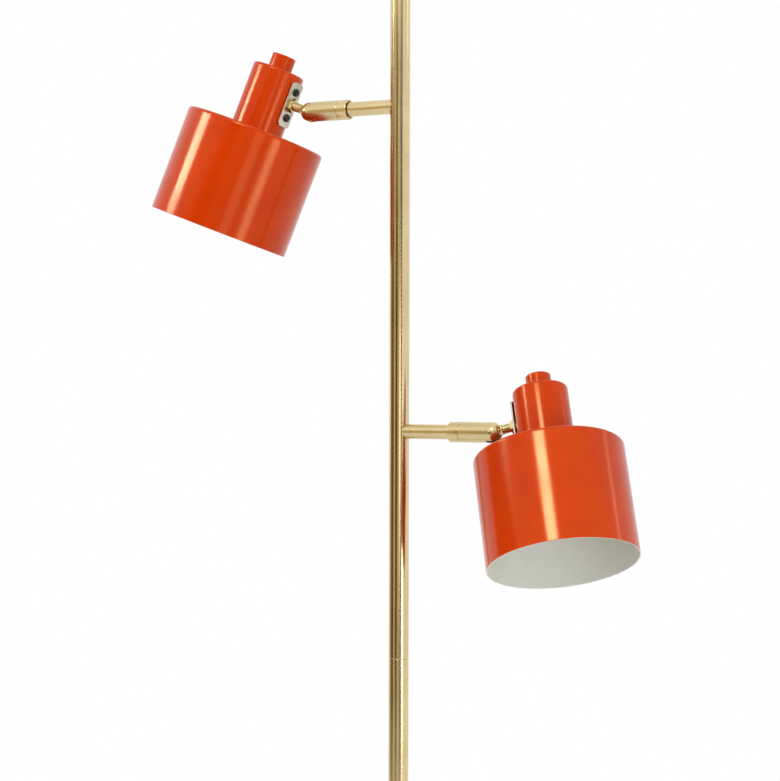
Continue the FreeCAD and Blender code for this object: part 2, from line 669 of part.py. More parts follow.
POLE_PIECES = {
    "floor_pad": pad,
    "foot_cup": foot_cup,
    "foot_plug": foot_plug,
    "pole_bottom_tube": pole_bottom_tube,
    "cord_bush": cord_bush,
    "pole_lower_spigot": lambda: spigot(FIRST_JOINT_Z),
    "pole_middle_tube": pole_middle_tube,
    "pole_upper_spigot": lambda: spigot(SECOND_JOINT_Z),
    "pole_top_tube": pole_top_tube,
    "spring_seat": spring_seat,
    "tension_spring": tension_spring,
    "guide_bush": guide_bush,
    "plunger_stop": plunger_stop,
    "plunger_tube": plunger_tube,
    "ceiling_cup": ceiling_cup,
    "ceiling_pad": ceiling_pad,
}
LAMP_PIECES = {
    "arm": [arm_tube, arm_stud, saddle_nut, knuckle_collar],
    "swivel": [swivel_screw, knuckle_body, pivot_pin],
    "head": [pivot_tongue, stub_nuts, bracket_plate, bracket_screws, bracket_nuts, neck_cup,
             shade_drum, lampholder_body, shade_ring, socket_shell, contact_strip, switch_body,
             switch_nut, switch_knob, knob_spindle],
}

os.makedirs("parts", exist_ok=True)
for piece_name, make in POLE_PIECES.items():
    save(piece_name, make())
for frame_name, makers in LAMP_PIECES.items():
    for make in makers:
        blank_piece = make()
        for lamp_name, lamp_data in LAMPS.items():
            save(f"{lamp_name}_{make.__name__}", place(blank_piece, frame_name, lamp_data))
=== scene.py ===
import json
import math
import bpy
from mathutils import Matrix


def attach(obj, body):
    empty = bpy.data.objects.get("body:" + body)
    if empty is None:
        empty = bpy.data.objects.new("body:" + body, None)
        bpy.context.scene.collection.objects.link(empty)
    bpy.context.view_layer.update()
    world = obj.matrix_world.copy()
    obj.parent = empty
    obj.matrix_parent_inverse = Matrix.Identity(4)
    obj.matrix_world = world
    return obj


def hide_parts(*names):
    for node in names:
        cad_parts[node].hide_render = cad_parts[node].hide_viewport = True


bl_info = {
    "name": "Tension pole lamp",
    "version": (1, 0, 0),
    "blender": (4, 5, 0),
    "location": "View3D > Sidebar > Pole lamp",
    "description": "Builds the finished look of a sprung pole lamp with two drum shades",
    "category": "Object",
}

import bmesh
import bpy
from bpy.props import FloatProperty, FloatVectorProperty, IntProperty, PointerProperty
from mathutils import Matrix, Vector

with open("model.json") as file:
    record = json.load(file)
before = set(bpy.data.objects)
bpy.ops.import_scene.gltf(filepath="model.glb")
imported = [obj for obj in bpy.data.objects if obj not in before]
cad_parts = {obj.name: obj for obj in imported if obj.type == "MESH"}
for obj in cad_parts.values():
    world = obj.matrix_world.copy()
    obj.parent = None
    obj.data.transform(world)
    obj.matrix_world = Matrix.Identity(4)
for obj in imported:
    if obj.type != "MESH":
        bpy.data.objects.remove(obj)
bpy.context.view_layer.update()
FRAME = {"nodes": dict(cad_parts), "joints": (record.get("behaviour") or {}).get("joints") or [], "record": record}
NODES = FRAME["nodes"]
JOINTS = {joint["name"]: joint for joint in FRAME["joints"]}
LAMPS = ("lower", "upper")
MM = 0.001
SHARP_ANGLE = math.radians(32)
SMALL_STEPS = 96

# the shades and the lampholders, where the frame doesn't give a size
HOLDER_HOLE_SHARE = 0.82
SPINDLE_HOLE_SHARE = 1.7
KNOB_WALL = 1.3 * MM
KNOB_HOLLOW_DEPTH = 6 * MM
RING_FLANGE = 2 * MM
RING_SKIRT_INSET = 3.4 * MM
RING_BORE_INSET = 7.25 * MM
GRIPS = 24
GRIP_RADIUS = 1.7 * MM
GRIP_STAND_OFF = 1.0 * MM
LAMP_PITCH = 3.62 * MM
THREAD_INSET = 0.35 * MM
THREAD_DEPTH = 0.8 * MM
SHELL_WALL = 0.3 * MM

# the rubber pads
PAD_RIBS = 4
PAD_GROOVE = 0.7 * MM
PAD_FIRST_RIB = 0.82
PAD_RIB_SPACING = 0.17

# where the camera stands, from the fit of the photograph
VIEW_AZIMUTH = math.radians(26.36)
VIEW_DISTANCE = 2.0268
VIEW_HEIGHT = 1.1142
VIEW_OFFSET = -0.0043
VIEW_ROLL = math.radians(0.15)
FOCAL_PIXELS = 2026.8
IMAGE_SIZE = (780, 781)
AIM_PIXEL = (395.0, 393.8)
RIGHT = Vector((math.cos(VIEW_AZIMUTH), math.sin(VIEW_AZIMUTH), 0))
TOWARD = Vector((math.sin(VIEW_AZIMUTH), -math.cos(VIEW_AZIMUTH), 0))
UP = Vector((0, 0, 1))

# the studio
FLOOR_RADIUS = 3.0
FLOOR_GLOW = 0.8
FILL_FROM_LEFT = 0.62
FILL_FROM_RIGHT = 1.3
# the glowing cards that paint reflection bands, seen only by glossy rays
REFLECTION_CARD_RADIUS = 3.5
REFLECTION_CARD_HEIGHT = 2.2
STRIP_REACH = 2.6
STRIP_COLOUR = (1.0, 0.93, 0.80)


# ---- the lamp's own axes, read from the frame ----
def axes_matrix(x_axis, z_axis, origin):
    matrix = Matrix((x_axis, z_axis.cross(x_axis), z_axis)).transposed().to_4x4()
    matrix.translation = origin
    return matrix


def head_axes(lamp):
    """X runs from the tilt pin to the shade's axis, Z up along the shade."""
    pin = Vector(JOINTS[f"{lamp}_head_tilt"]["pos_m"])
    knob = JOINTS[f"{lamp}_switch_turn"]
    up = Vector(knob["axis"]).normalized()
    reach = Vector(knob["pos_m"]) - pin
    return axes_matrix((reach - up * reach.dot(up)).normalized(), up, pin)


def shade_axes(lamp):
    """As head_axes, but with the shade's own axis at the origin."""
    knob = JOINTS[f"{lamp}_switch_turn"]
    reach = head_axes(lamp).inverted() @ Vector(knob["pos_m"])
    return head_axes(lamp) @ Matrix.Translation((reach.x, 0, 0))


def extent(node, axes=Matrix()):
    """Lowest and highest corner of a CAD node, measured along the given axes."""
    turned_back = axes.inverted()
    points = [turned_back @ v.co for v in NODES[node].data.vertices]
    low = Vector(min(p[i] for p in points) for i in range(3))
    high = Vector(max(p[i] for p in points) for i in range(3))
    return low, high


# ---- settings ----
class PoleLampSizes(bpy.types.PropertyGroup):
    round_steps: IntProperty(
        name="Round steps", description="Faces round a turned piece", default=128, min=24)
    sheet: FloatProperty(
        name="Sheet", description="Wall of the spun shades", default=1.0 * MM,
        unit="LENGTH", precision=4)
    drum_round: FloatProperty(
        name="Drum edge", description="Radius of the drum's top edge", default=3.0 * MM,
        unit="LENGTH", precision=4)
    neck_round: FloatProperty(
        name="Neck edge", description="Radius of the neck's top edge", default=2.6 * MM,
        unit="LENGTH", precision=4)
    knob_round: FloatProperty(
        name="Knob edge", description="Radius of the knob's top edge", default=1.4 * MM,
        unit="LENGTH", precision=4)
    tube_wall: FloatProperty(
        name="Tube wall", description="Wall of the pole's tubes", default=1.0 * MM,
        unit="LENGTH", precision=4)
    edge_break: FloatProperty(
        name="Edge break", description="Bevel of turned metal edges", default=0.35 * MM,
        unit="LENGTH", precision=4)


class PoleLampFinishes(bpy.types.PropertyGroup):
    enamel: FloatVectorProperty(
        name="Enamel", description="Orange enamel outside the shades",
        default=(0.585, 0.043, 0.0003), subtype="COLOR", size=3, min=0, max=1)
    enamel_deep: FloatVectorProperty(
        name="Enamel, deep", description="Where the enamel lies thicker",
        default=(0.51, 0.031, 0.0002), subtype="COLOR", size=3, min=0, max=1)
    lining: FloatVectorProperty(
        name="Lining", description="White paint inside the drums",
        default=(0.80, 0.79, 0.73), subtype="COLOR", size=3, min=0, max=1)
    brass: FloatVectorProperty(
        name="Brass", description="Lacquered brass of the pole and arms",
        default=(0.70, 0.57, 0.32), subtype="COLOR", size=3, min=0, max=1)
    brass_dark: FloatVectorProperty(
        name="Brass, tarnished", description="Brass under thin tarnish",
        default=(0.44, 0.31, 0.13), subtype="COLOR", size=3, min=0, max=1)
    plated: FloatVectorProperty(
        name="Plating", description="Zinc-plated bracket and nuts",
        default=(0.62, 0.57, 0.45), subtype="COLOR", size=3, min=0, max=1)
    black: FloatVectorProperty(
        name="Black", description="Blackened screws and moulded plastic",
        default=(0.018, 0.017, 0.016), subtype="COLOR", size=3, min=0, max=1)
    rubber: FloatVectorProperty(
        name="Rubber", description="Floor and ceiling pads",
        default=(0.045, 0.043, 0.04), subtype="COLOR", size=3, min=0, max=1)
    fill_light: FloatProperty(
        name="Fill light", description="Strength of the studio's even light", default=0.50)


# ---- shared shader groups ----
class NodeSheet:
    """Adds and joins the nodes of one tree in short lines."""

    def __init__(self, tree):
        self.tree = tree

    def add(self, kind, values=None, **settings):
        node = self.tree.nodes.new(kind)
        for key, value in settings.items():
            setattr(node, key, value)
        for key, value in (values or {}).items():
            if isinstance(value, bpy.types.NodeSocket):
                self.tree.links.new(value, node.inputs[key])
            else:
                node.inputs[key].default_value = value
        return node

    def mix(self, factor, first, second, blend="MIX"):
        node = self.add("ShaderNodeMix", data_type="RGBA", blend_type=blend)
        for socket, value in ((node.inputs[0], factor), (node.inputs[6], first), (node.inputs[7], second)):
            if isinstance(value, bpy.types.NodeSocket):
                self.tree.links.new(value, socket)
            elif hasattr(value, "__len__") and len(value) == 3:
                socket.default_value = (*value, 1.0)
            else:
                socket.default_value = value
        return node.outputs[2]


def group_tree(name, inputs, outputs):
    tree = bpy.data.node_groups.new(name, "ShaderNodeTree")
    for label, kind, default in inputs:
        socket = tree.interface.new_socket(label, in_out="INPUT", socket_type=kind)
        if default is not None:
            socket.default_value = default
    for label, kind in outputs:
        tree.interface.new_socket(label, in_out="OUTPUT", socket_type=kind)
    sheet = NodeSheet(tree)
    source = tree.nodes.new("NodeGroupInput")
    sink = tree.nodes.new("NodeGroupOutput")
    return tree, sheet, source, sink


def drawn_grain_group():
    """Fine lines left along a drawn tube, or round a turned piece, as a mask and a bump."""
    tree, sheet, source, sink = group_tree(
        "drawn_grain",
        [("Vector", "NodeSocketVector", None), ("Fineness", "NodeSocketFloat", 900.0),
         ("Stretch", "NodeSocketFloat", 0.02), ("Depth", "NodeSocketFloat", 0.15)],
        [("Mask", "NodeSocketFloat"), ("Normal", "NodeSocketVector")])
    squeeze = sheet.add("ShaderNodeCombineXYZ", {0: 1.0, 1: 1.0, 2: source.outputs["Stretch"]})
    stretched = sheet.add("ShaderNodeVectorMath", {0: source.outputs["Vector"], 1: squeeze.outputs[0]},
                          operation="MULTIPLY")
    lines = sheet.add("ShaderNodeTexNoise", {
        "Vector": stretched.outputs[0], "Scale": source.outputs["Fineness"], "Detail": 3.0,
        "Roughness": 0.6})
    bump = sheet.add("ShaderNodeBump", {
        "Strength": source.outputs["Depth"], "Distance": 0.02 * MM, "Height": lines.outputs["Fac"]})
    tree.links.new(lines.outputs["Fac"], sink.inputs["Mask"])
    tree.links.new(bump.outputs["Normal"], sink.inputs["Normal"])
    return tree


def handling_group():
    """Soft smudges, scattered specks and hairline scratches from years of handling."""
    tree, sheet, source, sink = group_tree(
        "handling",
        [("Vector", "NodeSocketVector", None), ("Smudge Size", "NodeSocketFloat", 30.0),
         ("Speck Size", "NodeSocketFloat", 900.0)],
        [("Smudges", "NodeSocketFloat"), ("Specks", "NodeSocketFloat"),
         ("Scratches", "NodeSocketFloat")])
    smudge = sheet.add("ShaderNodeTexNoise", {
        "Vector": source.outputs["Vector"], "Scale": source.outputs["Smudge Size"], "Detail": 4.0,
        "Roughness": 0.55, "Distortion": 0.4})
    soft = sheet.add("ShaderNodeMapRange", {
        "Value": smudge.outputs["Fac"], "From Min": 0.35, "From Max": 0.7})
    grains = sheet.add("ShaderNodeTexVoronoi", {
        "Vector": source.outputs["Vector"], "Scale": source.outputs["Speck Size"]})
    pick = sheet.add("ShaderNodeSeparateColor", {"Color": grains.outputs["Color"]})
    rare = sheet.add("ShaderNodeMath", {0: pick.outputs[0], 1: 0.93}, operation="GREATER_THAN")
    near = sheet.add("ShaderNodeMath", {0: grains.outputs["Distance"], 1: 0.28}, operation="LESS_THAN")
    specks = sheet.add("ShaderNodeMath", {0: rare.outputs[0], 1: near.outputs[0]}, operation="MULTIPLY")
    waves = sheet.add("ShaderNodeTexNoise", {
        "Vector": source.outputs["Vector"], "Scale": 45.0, "Detail": 1.0})
    bent = sheet.add("ShaderNodeVectorMath", {
        0: source.outputs["Vector"], 1: waves.outputs["Color"]}, operation="ADD")
    hairs = sheet.add("ShaderNodeTexVoronoi", {"Vector": bent.outputs[0], "Scale": 26.0},
                      feature="DISTANCE_TO_EDGE")
    scratch = sheet.add("ShaderNodeMath", {0: hairs.outputs["Distance"], 1: 0.004}, operation="LESS_THAN")
    tree.links.new(soft.outputs[0], sink.inputs["Smudges"])
    tree.links.new(specks.outputs[0], sink.inputs["Specks"])
    tree.links.new(scratch.outputs[0], sink.inputs["Scratches"])
    return tree


def ripple_group():
    """The faint ripple of sprayed enamel."""
    tree, sheet, source, sink = group_tree(
        "sprayed_ripple",
        [("Vector", "NodeSocketVector", None), ("Size", "NodeSocketFloat", 420.0),
         ("Depth", "NodeSocketFloat", 0.1), ("Specks", "NodeSocketFloat", 0.0)],
        [("Normal", "NodeSocketVector")])
    ripple = sheet.add("ShaderNodeTexNoise", {
        "Vector": source.outputs["Vector"], "Scale": source.outputs["Size"], "Detail": 2.0,
        "Roughness": 0.45})
    nibs = sheet.add("ShaderNodeMath", {
        0: source.outputs["Specks"], 1: 0.6, 2: ripple.outputs["Fac"]}, operation="MULTIPLY_ADD")
    bump = sheet.add("ShaderNodeBump", {
        "Strength": source.outputs["Depth"], "Distance": 0.03 * MM, "Height": nibs.outputs[0]})
    tree.links.new(bump.outputs["Normal"], sink.inputs["Normal"])
    return tree


def empty_material(name):
    material = bpy.data.materials.new(name)
    material.use_nodes = True
    material.node_tree.nodes.clear()
    return material, NodeSheet(material.node_tree)


def blank_material(name):
    """A material with only a shader in it, and the coordinates that its patterns lie on."""
    material, sheet = empty_material(name)
    shader = sheet.add("ShaderNodeBsdfPrincipled")
    output = sheet.add("ShaderNodeOutputMaterial")
    material.node_tree.links.new(shader.outputs[0], output.inputs[0])
    place = sheet.add("ShaderNodeTexCoord").outputs["Object"]
    return material, sheet, shader, place


def place_group(sheet, name, values):
    return sheet.add("ShaderNodeGroup", values, node_tree=bpy.data.node_groups[name])


def orange_enamel(finish):
    material, sheet, shader, place = blank_material("gloss_enamel")
    wear = place_group(sheet, "handling", {"Vector": place, "Smudge Size": 18.0, "Speck Size": 520.0})
    peel = place_group(sheet, "sprayed_ripple", {
        "Vector": place, "Size": 300.0, "Depth": 0.10, "Specks": wear.outputs["Specks"]})
    colour = sheet.mix(wear.outputs["Smudges"], finish.enamel, finish.enamel_deep)
    rough = sheet.add("ShaderNodeMapRange", {
        "Value": wear.outputs["Smudges"], "To Min": 0.12, "To Max": 0.19})
    sheet.tree.links.new(colour, shader.inputs["Base Color"])
    sheet.tree.links.new(rough.outputs[0], shader.inputs["Roughness"])
    sheet.tree.links.new(peel.outputs["Normal"], shader.inputs["Normal"])
    shader.inputs["Specular IOR Level"].default_value = 0.38
    shader.inputs["Specular Tint"].default_value = (1.0, 0.70, 0.36, 1.0)
    return material


def white_lining(finish):
    material, sheet, shader, place = blank_material("white_lining")
    wear = place_group(sheet, "handling", {"Vector": place, "Smudge Size": 25.0, "Speck Size": 700.0})
    peel = place_group(sheet, "sprayed_ripple", {
        "Vector": place, "Size": 700.0, "Depth": 0.25, "Specks": wear.outputs["Specks"]})
    dim = tuple(c * 0.95 for c in finish.lining)
    sheet.tree.links.new(sheet.mix(wear.outputs["Smudges"], finish.lining, dim), shader.inputs["Base Color"])
    sheet.tree.links.new(peel.outputs["Normal"], shader.inputs["Normal"])
    rough = sheet.add("ShaderNodeMapRange", {
        "Value": wear.outputs["Smudges"], "To Min": 0.38, "To Max": 0.48})
    sheet.tree.links.new(rough.outputs[0], shader.inputs["Roughness"])
    return material


def brass(name, finish, stretch, rough_low, rough_high):
    """Lacquered brass; stretch draws the grain out along each of the object's axes."""
    material, sheet, shader, place = blank_material(name)
    laid = sheet.add("ShaderNodeVectorMath", {0: place, 1: stretch}, operation="MULTIPLY")
    grain = place_group(sheet, "drawn_grain", {
        "Vector": laid.outputs[0], "Fineness": 1100.0, "Stretch": 1.0, "Depth": 0.12})
    wear = place_group(sheet, "handling", {"Vector": place, "Smudge Size": 22.0, "Speck Size": 1300.0})
    tarnish = sheet.add("ShaderNodeMath", {0: wear.outputs["Smudges"], 1: 0.35}, operation="MULTIPLY")
    spots = sheet.add("ShaderNodeMath", {0: wear.outputs["Specks"], 1: 0.5, 2: tarnish.outputs[0]},
                      operation="MULTIPLY_ADD", use_clamp=True)
    aged = sheet.mix(spots.outputs[0], finish.brass, finish.brass_dark)
    light = tuple(min(1.0, c * 1.12) for c in finish.brass)
    streaks = sheet.add("ShaderNodeMapRange", {
        "Value": grain.outputs["Mask"], "From Min": 0.3, "From Max": 0.7, "To Min": 0.0, "To Max": 0.35})
    colour = sheet.mix(streaks.outputs[0], aged, light)
    rough = sheet.add("ShaderNodeMapRange", {
        "Value": grain.outputs["Mask"], "From Min": 0.3, "From Max": 0.7,
        "To Min": rough_low, "To Max": rough_high})
    sheet.tree.links.new(colour, shader.inputs["Base Color"])
    sheet.tree.links.new(rough.outputs[0], shader.inputs["Roughness"])
    sheet.tree.links.new(grain.outputs["Normal"], shader.inputs["Normal"])
    shader.inputs["Metallic"].default_value = 1.0
    return material


def plated_steel(finish):
    material, sheet, shader, place = blank_material("zinc_plate")
    wear = place_group(sheet, "handling", {"Vector": place, "Smudge Size": 70.0, "Speck Size": 1500.0})
    dull = tuple(c * 0.62 for c in finish.plated)
    sheet.tree.links.new(sheet.mix(wear.outputs["Smudges"], finish.plated, dull), shader.inputs["Base Color"])
    rough = sheet.add("ShaderNodeMapRange", {
        "Value": wear.outputs["Smudges"], "To Min": 0.28, "To Max": 0.42})
    sheet.tree.links.new(rough.outputs[0], shader.inputs["Roughness"])
    peel = place_group(sheet, "sprayed_ripple", {
        "Vector": place, "Size": 1500.0, "Depth": 0.25, "Specks": wear.outputs["Specks"]})
    sheet.tree.links.new(peel.outputs["Normal"], shader.inputs["Normal"])
    shader.inputs["Metallic"].default_value = 1.0
    return material


def dark_material(name, colour, rough, grain_size, metallic=0.0):
    """Black oxide, moulded plastic or rubber: a dull dark skin with its own fine texture."""
    material, sheet, shader, place = blank_material(name)
    wear = place_group(sheet, "handling", {"Vector": place, "Smudge Size": 60.0, "Speck Size": 1400.0})
    peel = place_group(sheet, "sprayed_ripple", {
        "Vector": place, "Size": grain_size, "Depth": 0.5, "Specks": wear.outputs["Specks"]})
    dusty = tuple(c * 1.8 + 0.01 for c in colour)
    sheet.tree.links.new(sheet.mix(wear.outputs["Smudges"], colour, dusty), shader.inputs["Base Color"])
    spread = sheet.add("ShaderNodeMapRange", {
        "Value": wear.outputs["Smudges"], "To Min": rough, "To Max": rough + 0.12})
    sheet.tree.links.new(spread.outputs[0], shader.inputs["Roughness"])
    sheet.tree.links.new(peel.outputs["Normal"], shader.inputs["Normal"])
    shader.inputs["Metallic"].default_value = metallic
    return material


# ---- mesh helpers ----
def supported(corners):
    """The corners, with a plain one just past each rounding, so that shading stays straight beside it."""
    held = []
    for i, (radius, height, rounding) in enumerate(corners):
        here = Vector((radius, height))
        if not rounding:
            held.append((radius, height, 0))
            continue
        for turn_end in (-1, 1):
            neighbour = corners[(i + turn_end) % len(corners)]
            run = Vector(neighbour[:2]) - here
            share = 1.2 * rounding / run.length if run.length > 2.6 * rounding + 0.4 * MM else 0
            extra = here + run * share
            if turn_end == 1:
                held.append((radius, height, rounding))
            if share:
                held.append((extra.x, extra.y, 0))
    return held


def turn(corners, steps):
    """A shape turned about Z from (radius, height, edge radius) corners in a closed loop."""
    bm = bmesh.new()
    corners = supported(corners)
    verts = [bm.verts.new((radius, 0, height)) for radius, height, _ in corners]
    edges = []
    for i, vert in enumerate(verts):
        following = verts[(i + 1) % len(verts)]
        if vert.co.x > 0 or following.co.x > 0:
            edges.append(bm.edges.new((vert, following)))
    bmesh.ops.spin(bm, geom=verts + edges, axis=UP, cent=(0, 0, 0), dvec=(0, 0, 0),
                   angle=2 * math.pi, steps=steps, use_merge=True, use_duplicate=False)
    bmesh.ops.remove_doubles(bm, verts=bm.verts, dist=1e-7)
    bmesh.ops.recalc_face_normals(bm, faces=bm.faces)
    for radius, height, rounding in corners:
        if rounding:
            bevel_ring(bm, radius, height, rounding)
    return bm


def bevel_ring(bm, radius, height, rounding):
    """Round the ring edge at one radius and height."""
    def on_ring(vert):
        return abs(vert.co.z - height) < 1e-6 and abs(math.hypot(vert.co.x, vert.co.y) - radius) < 1e-6
    ring = [e for e in bm.edges if on_ring(e.verts[0]) and on_ring(e.verts[1])]
    segments = 2 if rounding < 0.6 * MM else 6
    bmesh.ops.bevel(bm, geom=ring, offset=rounding, offset_type="OFFSET", segments=segments,
                    profile=0.5, affect="EDGES", material=-1, clamp_overlap=True)


def smooth_faces(mesh):
    bm = bmesh.new()
    bm.from_mesh(mesh)
    for face in bm.faces:
        face.smooth = True
    for edge in bm.edges:
        edge.smooth = len(edge.link_faces) == 2 and edge.calc_face_angle(0) < SHARP_ANGLE
    bm.to_mesh(mesh)
    bm.free()


def add_piece(name, bm, axes, materials):
    """Put a mesh in its place in the row frame, its object left at the origin."""
    bmesh.ops.transform(bm, verts=bm.verts, matrix=axes)
    mesh = bpy.data.meshes.new(name)
    bm.to_mesh(mesh)
    bm.free()
    smooth_faces(mesh)
    for material in materials:
        mesh.materials.append(bpy.data.materials[material])
    piece = bpy.data.objects.new(name, mesh)
    bpy.context.scene.collection.objects.link(piece)
    return piece


def carve(bm, cutters):
    """The mesh with each cutter mesh taken out of it."""
    body = bpy.data.objects.new("carved", bpy.data.meshes.new("carved"))
    bm.to_mesh(body.data)
    bm.free()
    bpy.context.scene.collection.objects.link(body)
    tools = []
    for cutter in cutters:
        tool = bpy.data.objects.new("cutter", bpy.data.meshes.new("cutter"))
        cutter.to_mesh(tool.data)
        cutter.free()
        bpy.context.scene.collection.objects.link(tool)
        cut = body.modifiers.new("cut", "BOOLEAN")
        cut.operation = "DIFFERENCE"
        cut.solver = "EXACT"
        cut.object = tool
        tools.append(tool)
    graph = bpy.context.evaluated_depsgraph_get()
    result = bmesh.new()
    result.from_mesh(body.evaluated_get(graph).data)
    for item in [body, *tools]:
        bpy.data.objects.remove(item)
    bmesh.ops.remove_doubles(result, verts=result.verts, dist=1e-6)
    bmesh.ops.recalc_face_normals(result, faces=result.faces)
    return result


def merge_in(target, extra):
    """Add one mesh's shapes to another."""
    mesh = bpy.data.meshes.new("merged")
    extra.to_mesh(mesh)
    extra.free()
    target.from_mesh(mesh)
    bpy.data.meshes.remove(mesh)


def rod(radius, low, high, steps):
    bm = bmesh.new()
    bmesh.ops.create_cone(bm, cap_ends=True, segments=steps, radius1=radius, radius2=radius,
                          depth=high - low)
    bmesh.ops.translate(bm, verts=bm.verts, vec=(0, 0, (low + high) / 2))
    return bm


def sizes():
    return bpy.context.scene.pole_lamp_sizes


def finishes():
    return bpy.context.scene.pole_lamp_finishes


def tube_skin(node):
    """A CAD tube turned again, with its outer ends softly broken."""
    low, high = extent(node)
    bore = high.x - sizes().tube_wall
    edge = sizes().edge_break
    return turn([(high.x, low.z, edge), (high.x, high.z, edge), (bore, high.z, 0), (bore, low.z, 0)],
                SMALL_STEPS)


# ---- operators, one for each group of pieces ----
class MakeFinishes(bpy.types.Operator):
    """Make the shader groups and every material"""
    bl_idname = "pole_lamp.make_finishes"
    bl_label = "Make finishes"

    def execute(self, context):
        drawn_grain_group()
        handling_group()
        ripple_group()
        finish = finishes()
        orange_enamel(finish)
        white_lining(finish)
        brass("drawn_brass", finish, (1.0, 1.0, 0.012), 0.16, 0.24)
        brass("arm_brass", finish, (0.03, 1.0, 1.0), 0.20, 0.30)
        plated_steel(finish)
        dark_material("black_oxide", finish.black, 0.38, 1500.0, metallic=0.6)
        dark_material("moulded_black", finish.black, 0.42, 1200.0)
        dark_material("pad_rubber", finish.rubber, 0.62, 900.0)
        return {"FINISHED"}


class MakePole(bpy.types.Operator):
    """Turn the pole's three tubes with softly broken ends"""
    bl_idname = "pole_lamp.make_pole"
    bl_label = "Make pole tubes"

    def execute(self, context):
        for node in ("pole_bottom_tube", "pole_middle_tube", "pole_top_tube"):
            skin_name = node.replace("pole_", "pole_skin_")
            piece = add_piece(skin_name, tube_skin(node), Matrix(), ["drawn_brass"])
            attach(piece, "pole")
            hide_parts(node)
        return {"FINISHED"}


class MakeShades(bpy.types.Operator):
    """Spin the drums, necks and knobs in enamelled sheet"""
    bl_idname = "pole_lamp.make_shades"
    bl_label = "Make shades"

    def execute(self, context):
        for lamp in LAMPS:
            self.drum(lamp)
            self.neck(lamp)
            self.knob(lamp)
        return {"FINISHED"}

    def drum(self, lamp):
        axes = shade_axes(lamp)
        low, high = extent(f"{lamp}_shade_drum", axes)
        sheet = sizes().sheet
        radius = (high.x - low.x) / 2
        hole = extent(f"{lamp}_lampholder_body", axes)[1].x * HOLDER_HOLE_SHARE
        lip = sheet * 0.45
        bm = turn([(hole, high.z, 0), (radius, high.z, sizes().drum_round), (radius, low.z, lip),
                   (radius - sheet, low.z, lip),
                   (radius - sheet, high.z - sheet, sizes().drum_round - sheet),
                   (hole, high.z - sheet, 0)], sizes().round_steps)
        for face in bm.faces:
            middle = face.calc_center_median()
            outward = Vector((middle.x, middle.y, 0)).normalized().dot(face.normal)
            inside = outward < -0.3 or face.normal.z < -0.5
            face.material_index = 1 if inside else 0
        piece = add_piece(f"{lamp}_drum", bm, axes, ["gloss_enamel", "white_lining"])
        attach(piece, f"{lamp}_head")
        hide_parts(f"{lamp}_shade_drum")

    def neck(self, lamp):
        axes = shade_axes(lamp)
        low, high = extent(f"{lamp}_neck_cup", axes)
        sheet = sizes().sheet
        radius = (high.x - low.x) / 2
        hole = extent(f"{lamp}_knob_spindle", axes)[1].x * SPINDLE_HOLE_SHARE
        bm = turn([(hole, high.z, 0), (radius, high.z, sizes().neck_round), (radius, low.z, 0.25 * MM),
                   (radius - sheet, low.z, 0), (radius - sheet, high.z - sheet, 0),
                   (hole, high.z - sheet, 0)], sizes().round_steps)
        piece = add_piece(f"{lamp}_neck", bm, axes, ["gloss_enamel"])
        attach(piece, f"{lamp}_head")
        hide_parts(f"{lamp}_neck_cup")

    def knob(self, lamp):
        axes = shade_axes(lamp)
        low, high = extent(f"{lamp}_switch_knob", axes)
        radius = (high.x - low.x) / 2
        hollow = radius - KNOB_WALL
        floor = low.z + KNOB_HOLLOW_DEPTH
        bm = turn([(0, high.z, 0), (radius, high.z, sizes().knob_round), (radius, low.z, 0.3 * MM),
                   (hollow, low.z, 0), (hollow, floor, 0), (0, floor, 0)], SMALL_STEPS)
        piece = add_piece(f"{lamp}_knob", bm, axes, ["gloss_enamel"])
        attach(piece, f"{lamp}_knob")
        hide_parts(f"{lamp}_switch_knob")


